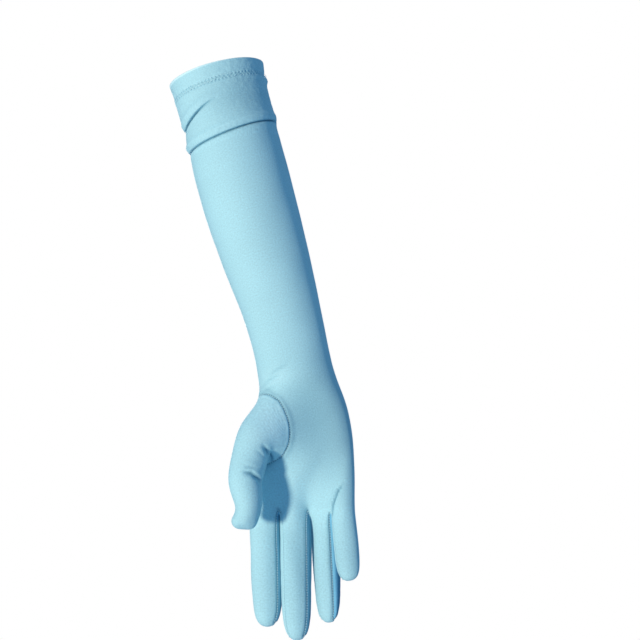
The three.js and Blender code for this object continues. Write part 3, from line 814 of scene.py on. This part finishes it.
# %% [markdown]
# The materials come before the pieces. The knit is a fine tricot with a soft, slightly
# silky finish: thin wales along the cloth, a fine grain, and slow changes of tone. One
# node group makes all three, so that each material can set its own colour and strength.
# The wales and the grain follow the cloth map, and the painted light and shade of the points go on
# top.

# %% The knit as a node group
grain_size, tone_size = 88, 26
loop_shade, loop_height = 0.03, 0.35
# how much painted shade darkens the cloth, and how far painted shade and highlight tint it
crease_shade, painted_shade_share, painted_highlight_share = 0.25, 0.75, -0.8


def set_inputs(node, values):
    for socket, value in values.items():
        node.inputs[socket].default_value = value


def make_knit_group():
    group = bpy.data.node_groups.new("fine_knit", "ShaderNodeTree")
    colours = ("Colour", "Side colour", "Deep colour", "Edge colour")
    amounts = ("Wales per unit", "Grain", "Tone change")
    for names, kind in ((colours, "NodeSocketColor"), (amounts, "NodeSocketFloat")):
        for name in names:
            group.interface.new_socket(name, in_out="INPUT", socket_type=kind)
    group.interface.new_socket("Colour", in_out="OUTPUT", socket_type="NodeSocketColor")
    group.interface.new_socket("Height", in_out="OUTPUT", socket_type="NodeSocketFloat")
    nodes, link = group.nodes, group.links.new
    enter, leave = nodes.new("NodeGroupInput"), nodes.new("NodeGroupOutput")
    cloth = nodes.new("ShaderNodeUVMap")
    cloth.uv_map = "cloth_map"

    def math_node(operation, first, second):
        node = nodes.new("ShaderNodeMath")
        node.operation = operation
        for socket, value in zip(node.inputs, (first, second)):
            if isinstance(value, (int, float)):
                socket.default_value = value
            else:
                link(value, socket)
        return node.outputs[0]

    def noise_node(size, detail, where):
        node = nodes.new("ShaderNodeTexNoise")
        set_inputs(node, {"Scale": size, "Detail": detail})
        link(where, node.inputs["Vector"])
        return node.outputs[0]

    def point_tone(name):
        node = nodes.new("ShaderNodeAttribute")
        node.attribute_name = name
        return node.outputs["Fac"]

    def mix(amount, first, second):
        node = nodes.new("ShaderNodeMix")
        node.data_type = "RGBA"
        for socket, value in ((0, amount), (6, first), (7, second)):
            link(value, node.inputs[socket])
        return node.outputs[2]

    split = nodes.new("ShaderNodeSeparateXYZ")
    link(cloth.outputs["UV"], split.inputs[0])
    waves = []
    for axis in "XY":
        turn = math_node("MULTIPLY", split.outputs[axis], enter.outputs["Wales per unit"])
        waves.append(math_node("SINE", math_node("MULTIPLY", turn, 2 * math.pi), 0))
    loops = math_node("MULTIPLY", *waves)
    grain = noise_node(grain_size, 2, cloth.outputs["UV"])
    tone = noise_node(tone_size, 3, nodes.new("ShaderNodeTexCoord").outputs["Object"])
    # the points carry painted light and shade, and the side walls' painted shade
    crease, wall = point_tone("painted_light_and_shade"), point_tone("wall_painted_shade")

    shade = math_node("ADD", math_node("MULTIPLY", loops, loop_shade), 1)
    for speckle, strength in ((grain, "Grain"), (tone, "Tone change")):
        part = math_node("SUBTRACT", speckle, 0.5)
        part = math_node("MULTIPLY", part, enter.outputs[strength])
        shade = math_node("ADD", shade, part)
    # painted shade from the points darkens the cloth
    shade = math_node("SUBTRACT", shade, math_node("MULTIPLY", crease, crease_shade))
    # painted shade: the side walls take their shaded colour where they face away from the key
    # light
    colour = mix(wall, enter.outputs["Colour"], enter.outputs["Side colour"])
    # painted shade tints creases deep blue, and below zero a painted highlight pales the rim
    for share, name in ((painted_shade_share, "Deep colour"), (painted_highlight_share, "Edge colour")):
        colour = mix(math_node("MULTIPLY", crease, share), colour, enter.outputs[name])
    scale = nodes.new("ShaderNodeVectorMath")
    scale.operation = "SCALE"
    link(colour, scale.inputs[0])
    link(shade, scale.inputs["Scale"])
    link(scale.outputs[0], leave.inputs["Colour"])
    height = math_node("ADD", math_node("MULTIPLY", loops, loop_height), grain)
    link(height, leave.inputs["Height"])
    return group


knit_group = make_knit_group()
print("group sockets:", [item.name for item in knit_group.interface.items_tree])

# %% [markdown]
# The glove is one colour. Painted shade turns the side walls a stronger blue where they
# face the little finger, creases take a painted deep blue shade and the rim a painted
# pale highlight, and the thread is paler than the cloth. A little sheen gives the silky
# look, and the bump of the knit stays very low.

# %% Materials
pale, painted_wall_shade_blue, thread = (0.40, 0.74, 0.84), (0.20, 0.58, 0.82), (0.56, 0.85, 0.92)
painted_shade_blue, painted_highlight_blue, sheen_tint = (0.09, 0.34, 0.52, 1), (0.66, 0.89, 0.94, 1), (0.85, 0.95, 1, 1)
wales_per_unit, bump_height = 125, 0.0004


def make_cloth_material(name, colour, side_colour, grain, tone, roughness):
    material = bpy.data.materials.new(name)
    material.use_nodes = True
    nodes, link = material.node_tree.nodes, material.node_tree.links.new
    shader = nodes["Principled BSDF"]
    set_inputs(shader, {
        "Roughness": roughness, "Sheen Weight": 0.12, "Sheen Roughness": 0.45,
        "Sheen Tint": sheen_tint, "Specular IOR Level": 0.35,
    })
    knit = nodes.new("ShaderNodeGroup")
    knit.node_tree = knit_group
    set_inputs(knit, {
        "Colour": (*colour, 1), "Side colour": (*side_colour, 1), "Deep colour": painted_shade_blue,
        "Edge colour": painted_highlight_blue, "Wales per unit": wales_per_unit, "Grain": grain,
        "Tone change": tone,
    })
    link(knit.outputs["Colour"], shader.inputs["Base Color"])
    bump = nodes.new("ShaderNodeBump")
    set_inputs(bump, {"Strength": 0.5, "Distance": bump_height})
    link(knit.outputs["Height"], bump.inputs["Height"])
    link(bump.outputs["Normal"], shader.inputs["Normal"])
    return material


finishes = table("name colour side_colour grain tone roughness", [
    ("knit_blue", pale, pale, 0.42, 0.12, 0.62),
    ("side_wall_blue", pale, painted_wall_shade_blue, 0.30, 0.08, 0.62),
    ("hem_blue", pale, pale, 0.36, 0.12, 0.62),
    ("thread_blue", thread, thread, 0.10, 0.05, 0.50),
])
knit_blue, side_wall_blue, hem_blue, thread_blue = (
    make_cloth_material(**row) for row in finishes
)
print("materials:", len(bpy.data.materials))

# %% [markdown]
# Each piece of cloth is its patch of the skin with a second surface inside it. Its edges
# are drawn back a little and rounded over, so that two pieces meet in a fine soft
# groove, and the rim of the cuff is a turned edge and not a sharp one.

# %% Pieces of cloth
cloth_thickness, hem_thickness = 1.1, 1.6
closed_gap, inner_gap = 0.02, 0.08


def cloth_patch(cloth):
    """The faces of one piece, the way that each point draws back, and the border's edges."""
    chosen = np.flatnonzero(skin_cloths == cloth)
    pull, edges = {}, {}
    for f in chosen:
        corners = skin_faces[f]
        middle = dressed_points[list(corners)].mean(axis=0)
        for a, b in zip(corners, corners[1:] + corners[:1]):
            pull[a] = pull.get(a, 0) + middle - dressed_points[a]
            if not edges.pop((b, a), False):
                edges[(a, b)] = True
    return chosen, pull, edges


def closed_seam(v):
    """The hem's seam and the seams on a finger's thumb side are pulled shut."""
    return quiet[v] or {hem, trunk} <= cloths_at[v]


def make_piece(name, thickness, material, draw_back=0.25, roll=0.45):
    chosen, pull, edges = cloth_patch(cloths.index(name))
    border = {v for edge in edges for v in edge}
    ids = {v: n for n, v in enumerate(pull)}
    order, count = list(ids), len(ids)
    outer = dressed_points[order]
    inner = outer - skin_normals[order] * thickness
    middle_ids, middle = {}, []
    for v in border:
        away = pull[v] - skin_normals[v] * np.dot(pull[v], skin_normals[v])
        away = away / np.linalg.norm(away)
        start = dressed_points[v]
        outer[ids[v]] = start + away * (closed_gap if closed_seam(v) else draw_back)
        inner[ids[v]] = start + away * inner_gap - skin_normals[v] * thickness
        middle_ids[v] = 2 * count + len(middle)
        middle.append(start + away * inner_gap - skin_normals[v] * min(roll, thickness / 2))
    points = np.concatenate([outer, inner, np.array(middle)]) / 1000
    sources = order + order + list(middle_ids)
    faces, maps, point_maps = [], [], {}
    for shift, way in ((0, 1), (count, -1)):
        for f in chosen:
            corners = [ids[v] + shift for v in skin_faces[f]]
            places = skin_maps[face_starts[f]:face_starts[f] + len(corners)]
            faces.append(corners[::way])
            maps.extend(places[::way])
            point_maps.update(zip(skin_faces[f], places))
    flat_edges = set()
    for a, b in edges:
        if closed_seam(a) and closed_seam(b):
            flat_edges.add(frozenset((ids[a], ids[b])))
        at_a, at_b = ((ids[v], middle_ids[v], ids[v] + count) for v in (a, b))
        for n in range(2):
            faces.append((at_a[n], at_a[n + 1], at_b[n + 1], at_b[n]))
            maps.extend((point_maps[a], point_maps[a], point_maps[b], point_maps[b]))
    mesh = bpy.data.meshes.new(name + "_cloth")
    mesh.from_pydata([tuple(p) for p in points], [], faces)
    mesh.uv_layers.new(name="cloth_map").data.foreach_set(
        "uv", np.array(maps, dtype=np.float32).ravel()
    )
    mesh.polygons.foreach_set("use_smooth", [True] * len(mesh.polygons))
    # each point's painted light and shade, and the side walls' painted shade, for the material
    for tone_name, tones in (("painted_light_and_shade", painted_light_and_shade), ("wall_painted_shade", wall_painted_shade)):
        tone_data = mesh.attributes.new(tone_name, "FLOAT", "POINT").data
        tone_data.foreach_set("value", tones[sources])
    sharp = [frozenset(edge.vertices) in flat_edges for edge in mesh.edges]
    mesh.attributes.new("sharp_edge", "BOOLEAN", "EDGE").data.foreach_set("value", sharp)
    mesh.materials.append(material)
    mesh.update()
    piece = new_object(name + "_cloth", mesh)
    mesh.calc_loop_triangles()
    print(name, "has", len(mesh.loop_triangles), "triangles")
    return piece


hem_piece = make_piece(cloths[hem], hem_thickness, hem_blue, draw_back=0.1, roll=0.6)
pieces = [(hem_piece, cloths[hem], "hem")]
for cloth, name in enumerate(cloths[trunk:], trunk):
    material = side_wall_blue if cloth > thumb else knit_blue
    pieces.append((make_piece(name, cloth_thickness, material), name, "knit"))

# %% [markdown]
# Every seam is sewn with small stitches. They follow loops of edges on the skin, which
# are found where a face of one piece of cloth meets a face of another.

# %% Seam loops
def seam_loops():
    """Closed lines of points where two pieces of cloth meet."""
    next_to, edge_cloth = {}, {}
    for face, cloth in zip(skin_faces, skin_cloths):
        for a, b in zip(face, face[1:] + face[:1]):
            edge_cloth[(a, b)] = cloth
    for (a, b), cloth in edge_cloth.items():
        other = edge_cloth.get((b, a), cloth)
        if cloth < other:
            next_to[a] = b
    loops = []
    while next_to:
        start, v = next_to.popitem()
        loop = [start]
        while v != start and v in next_to:
            loop.append(v)
            v = next_to.pop(v)
        loops.append(loop)
    return loops


loops = seam_loops()
print("seam loops:", [len(loop) for loop in loops])

# %% [markdown]
# Geometry Nodes lay the stitches: a curve is cut into equal steps, and on each step sits
# one short thread, a small stretched ball. The row ends as plain mesh, because instances
# are lost on export.

# %% Stitches by Geometry Nodes
def make_stitch_tree(material):
    tree = bpy.data.node_groups.new("stitch_row", "GeometryNodeTree")
    tree.interface.new_socket("Geometry", in_out="INPUT", socket_type="NodeSocketGeometry")
    for name in ("Step", "Thread radius", "Thread length"):
        tree.interface.new_socket(name, in_out="INPUT", socket_type="NodeSocketFloat")
    tree.interface.new_socket("Geometry", in_out="OUTPUT", socket_type="NodeSocketGeometry")
    nodes, link = tree.nodes, tree.links.new
    enter, leave = nodes.new("NodeGroupInput"), nodes.new("NodeGroupOutput")

    def fed(kind, socket, output):
        node = nodes.new(kind)
        link(output, node.inputs[socket])
        return node

    to_curve = fed("GeometryNodeMeshToCurve", 0, enter.outputs["Geometry"])
    steps = fed("GeometryNodeResampleCurve", "Curve", to_curve.outputs[0])
    steps.mode = "LENGTH"
    link(enter.outputs["Step"], steps.inputs["Length"])
    ball = nodes.new("GeometryNodeMeshUVSphere")
    set_inputs(ball, {"Segments": 6, "Rings": 4, "Radius": 1.0})
    size = nodes.new("ShaderNodeCombineXYZ")
    for axis, name in zip("XYZ", ("Thread radius", "Thread radius", "Thread length")):
        link(enter.outputs[name], size.inputs[axis])
    tangent = nodes.new("GeometryNodeInputTangent")
    turn = fed("FunctionNodeAlignRotationToVector", "Vector", tangent.outputs[0])
    turn.axis = "Z"
    lay = fed("GeometryNodeInstanceOnPoints", "Points", steps.outputs[0])
    link(ball.outputs["Mesh"], lay.inputs["Instance"])
    link(turn.outputs[0], lay.inputs["Rotation"])
    link(size.outputs[0], lay.inputs["Scale"])
    real = fed("GeometryNodeRealizeInstances", 0, lay.outputs[0])
    paint = fed("GeometryNodeSetMaterial", "Geometry", real.outputs[0])
    set_inputs(paint, {"Material": material})
    link(paint.outputs[0], leave.inputs[0])
    return tree


stitch_tree = make_stitch_tree(thread_blue)
print("stitch tree:", len(stitch_tree.nodes), "nodes")

# %% [markdown]
# A seam has one row of stitches and the hem two, a little above and below its seam. A
# row starts as a bare guide line. Its stitches are read back as a mesh of their own.

# %% Rows of stitches
seam_rise, finger_seam_rise, hem_rise, hem_spread = 0.04, 0.28, 0.35, 1.2


def lay_stitches(name, paths, sizes):
    """One mesh of stitches along closed paths, given as arrays of points in millimetres."""
    points, edges = [], []
    for path in paths:
        start = len(points)
        points.extend(tuple(p / 1000) for p in path)
        edges.extend((start + n, start + (n + 1) % len(path)) for n in range(len(path)))
    guide_mesh = bpy.data.meshes.new(name + "_guide")
    guide_mesh.from_pydata(points, edges, [])
    guide = new_object(name + "_guide", guide_mesh)
    sewing = guide.modifiers.new("sewing", "NODES")
    sewing.node_group = stitch_tree
    sockets = {i.name: i.identifier for i in stitch_tree.interface.items_tree}
    for socket, value in sizes.items():
        sewing[sockets[socket]] = value / 1000
    dg = bpy.context.evaluated_depsgraph_get()
    mesh = bpy.data.meshes.new_from_object(guide.evaluated_get(dg))
    guide.modifiers.remove(sewing)
    bpy.data.objects.remove(guide)
    mesh.name = name
    mesh.polygons.foreach_set("use_smooth", [True] * len(mesh.polygons))
    print(name, "has", len(mesh.polygons), "faces")
    return new_object(name, mesh)


def beside(loop, offset, lift_by):
    """A path beside a loop on the skin, moved across it and off the surface."""
    path = dressed_points[loop]
    ahead = np.roll(path, -1, axis=0) - np.roll(path, 1, axis=0)
    ahead /= np.linalg.norm(ahead, axis=1)[:, None]
    normals = skin_normals[loop]
    sideways = np.cross(normals, ahead)
    return path + sideways * offset + normals * lift_by


hem_loop = next(loop for loop in loops if hem in cloths_at[loop[0]])
cloth_loops = [loop for loop in loops if loop is not hem_loop]
rise = np.where(on_fingers, finger_seam_rise, seam_rise)[:, None]
seam_rows = lay_stitches(
    "seam_stitches",
    [beside(loop, 0.0, rise[loop]) for loop in cloth_loops],
    {"Step": 1.7, "Thread radius": 0.24, "Thread length": 0.62},
)
hem_rows = lay_stitches(
    "hem_stitches",
    [beside(hem_loop, side, hem_rise) for side in (-hem_spread, hem_spread)],
    {"Step": 2.6, "Thread radius": 0.22, "Thread length": 0.85},
)
pieces += [(seam_rows, None, "knit"), (hem_rows, None, "hem")]

# %% [markdown]
# Each piece now rides on the glove's one body, and the plain solid that a piece of
# cloth stands for is hidden.

# %% Tie the pieces to the frame
for piece, node, slot in pieces:
    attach(piece, "root")
    if node:
        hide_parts(node)
print("pieces tied:", len(pieces))

# %% [markdown]
# The camera is a pinhole camera that looks a little upwards and is rolled, so that the
# sleeve runs from the upper left down to the hand. The lens follows from the sensor:
# 1000 pixels of focal length on a picture 640 pixels wide.

# %% Camera
view_pitch = math.radians(10.0)
view_roll = math.radians(15.3)
view_forward = Vector((0, math.cos(view_pitch), math.sin(view_pitch)))
level_up = Vector((0, -math.sin(view_pitch), math.cos(view_pitch)))
view_right = math.cos(view_roll) * Vector((1, 0, 0)) - math.sin(view_roll) * level_up
view_up = math.sin(view_roll) * Vector((1, 0, 0)) + math.cos(view_roll) * level_up
view_place = Vector((0.025402, -0.708479, -0.326290))
picture_size, focal_pixels = 640, 1000

camera_data = bpy.data.cameras.new("camera")
camera_data.sensor_width = 36
camera_data.lens = camera_data.sensor_width * focal_pixels / picture_size
camera_data.clip_start = 0.05
camera = new_object("camera", camera_data)
camera.matrix_world = Matrix.Translation(view_place) @ Matrix(
    (view_right, view_up, -view_forward)
).transposed().to_4x4()
scene.camera = camera
print("lens:", round(camera_data.lens, 2), "mm")

# %% [markdown]
# The studio is plain: a floor well below the hanging glove, a white surround, a fairly
# small light from the front left, and a weaker one behind that only the back of the
# glove sees. The surround looks white but casts a bluish light, which keeps the shaded
# side from going grey.

# %% Floor and surround
floor_reach, floor_height = 6.0, -0.9
floor_paleness, floor_roughness = 0.9, 0.9
cast_blue, cast_strength = (0.34, 0.63, 1, 1), 0.45


def split_by_ray(tree, cast, seen, output):
    """Lights the scene with one shader and shows the camera another."""
    rays, choice = tree.nodes.new("ShaderNodeLightPath"), tree.nodes.new("ShaderNodeMixShader")
    tree.links.new(rays.outputs["Is Camera Ray"], choice.inputs[0])
    tree.links.new(cast.outputs[0], choice.inputs[1])
    tree.links.new(seen.outputs[0], choice.inputs[2])
    tree.links.new(choice.outputs[0], tree.nodes[output].inputs["Surface"])


floor_corners = [
    (x * floor_reach, y * floor_reach, floor_height)
    for x, y in ((-1, -1), (1, -1), (1, 1), (-1, 1))
]
floor_mesh = bpy.data.meshes.new("floor")
floor_mesh.from_pydata(floor_corners, [], [(0, 1, 2, 3)])
floor_paint = bpy.data.materials.new("floor_paint")
floor_paint.use_nodes = True
floor_tree = floor_paint.node_tree
floor_shader = floor_tree.nodes["Principled BSDF"]
set_inputs(floor_shader, {
    "Base Color": (floor_paleness, floor_paleness, floor_paleness, 1),
    "Roughness": floor_roughness,
})
floor_glow = floor_tree.nodes.new("ShaderNodeEmission")
split_by_ray(floor_tree, floor_shader, floor_glow, "Material Output")
floor_mesh.materials.append(floor_paint)
floor = new_object("floor", floor_mesh)
floor.visible_diffuse = floor.visible_glossy = False

world = bpy.data.worlds.new("surround")
scene.world = world
world.use_nodes = True
seen = world.node_tree.nodes["Background"]
set_inputs(seen, {"Color": (1, 1, 1, 1), "Strength": 1.0})
cast = world.node_tree.nodes.new("ShaderNodeBackground")
set_inputs(cast, {"Color": cast_blue, "Strength": cast_strength})
split_by_ray(world.node_tree, cast, seen, "World Output")
print("the surround casts", cast_strength, "of its light")

# %% [markdown]
# The lights are square soft boxes. They are placed as the camera sees them, so that
# their directions read as right, up and near.

# %% Lights
glove_middle = Vector((-0.015, -0.01, -0.2))


def add_light(name, right, up, near, distance, size, power, colour):
    """A square soft light, placed as the camera sees it: right, up and near the camera."""
    way = (view_right * right + view_up * up - view_forward * near).normalized()
    data = bpy.data.lights.new(name, "AREA")
    data.size, data.energy, data.color = size, power, colour
    light = new_object(name, data)
    light.location = glove_middle + way * distance
    light.rotation_mode = "QUATERNION"
    light.rotation_quaternion = way.to_track_quat("Z", "Y")
    light.visible_camera = False


lights = table("name right up near distance size power colour", [
    ("key_light", -0.61, -0.04, 0.79, 2.2, 0.25, 49, (1, 0.83, 0.66)),
    ("back_light", -0.15, 0.05, -0.99, 2.2, 0.60, 22, (1, 0.86, 0.72)),
])
for row in lights:
    add_light(**row)
scene.view_settings.view_transform = "Standard"
print("lights:", len(lights))

# %% [markdown]
# At the end the scene is brought up to date.

# %% Update at the end
bpy.context.view_layer.update()
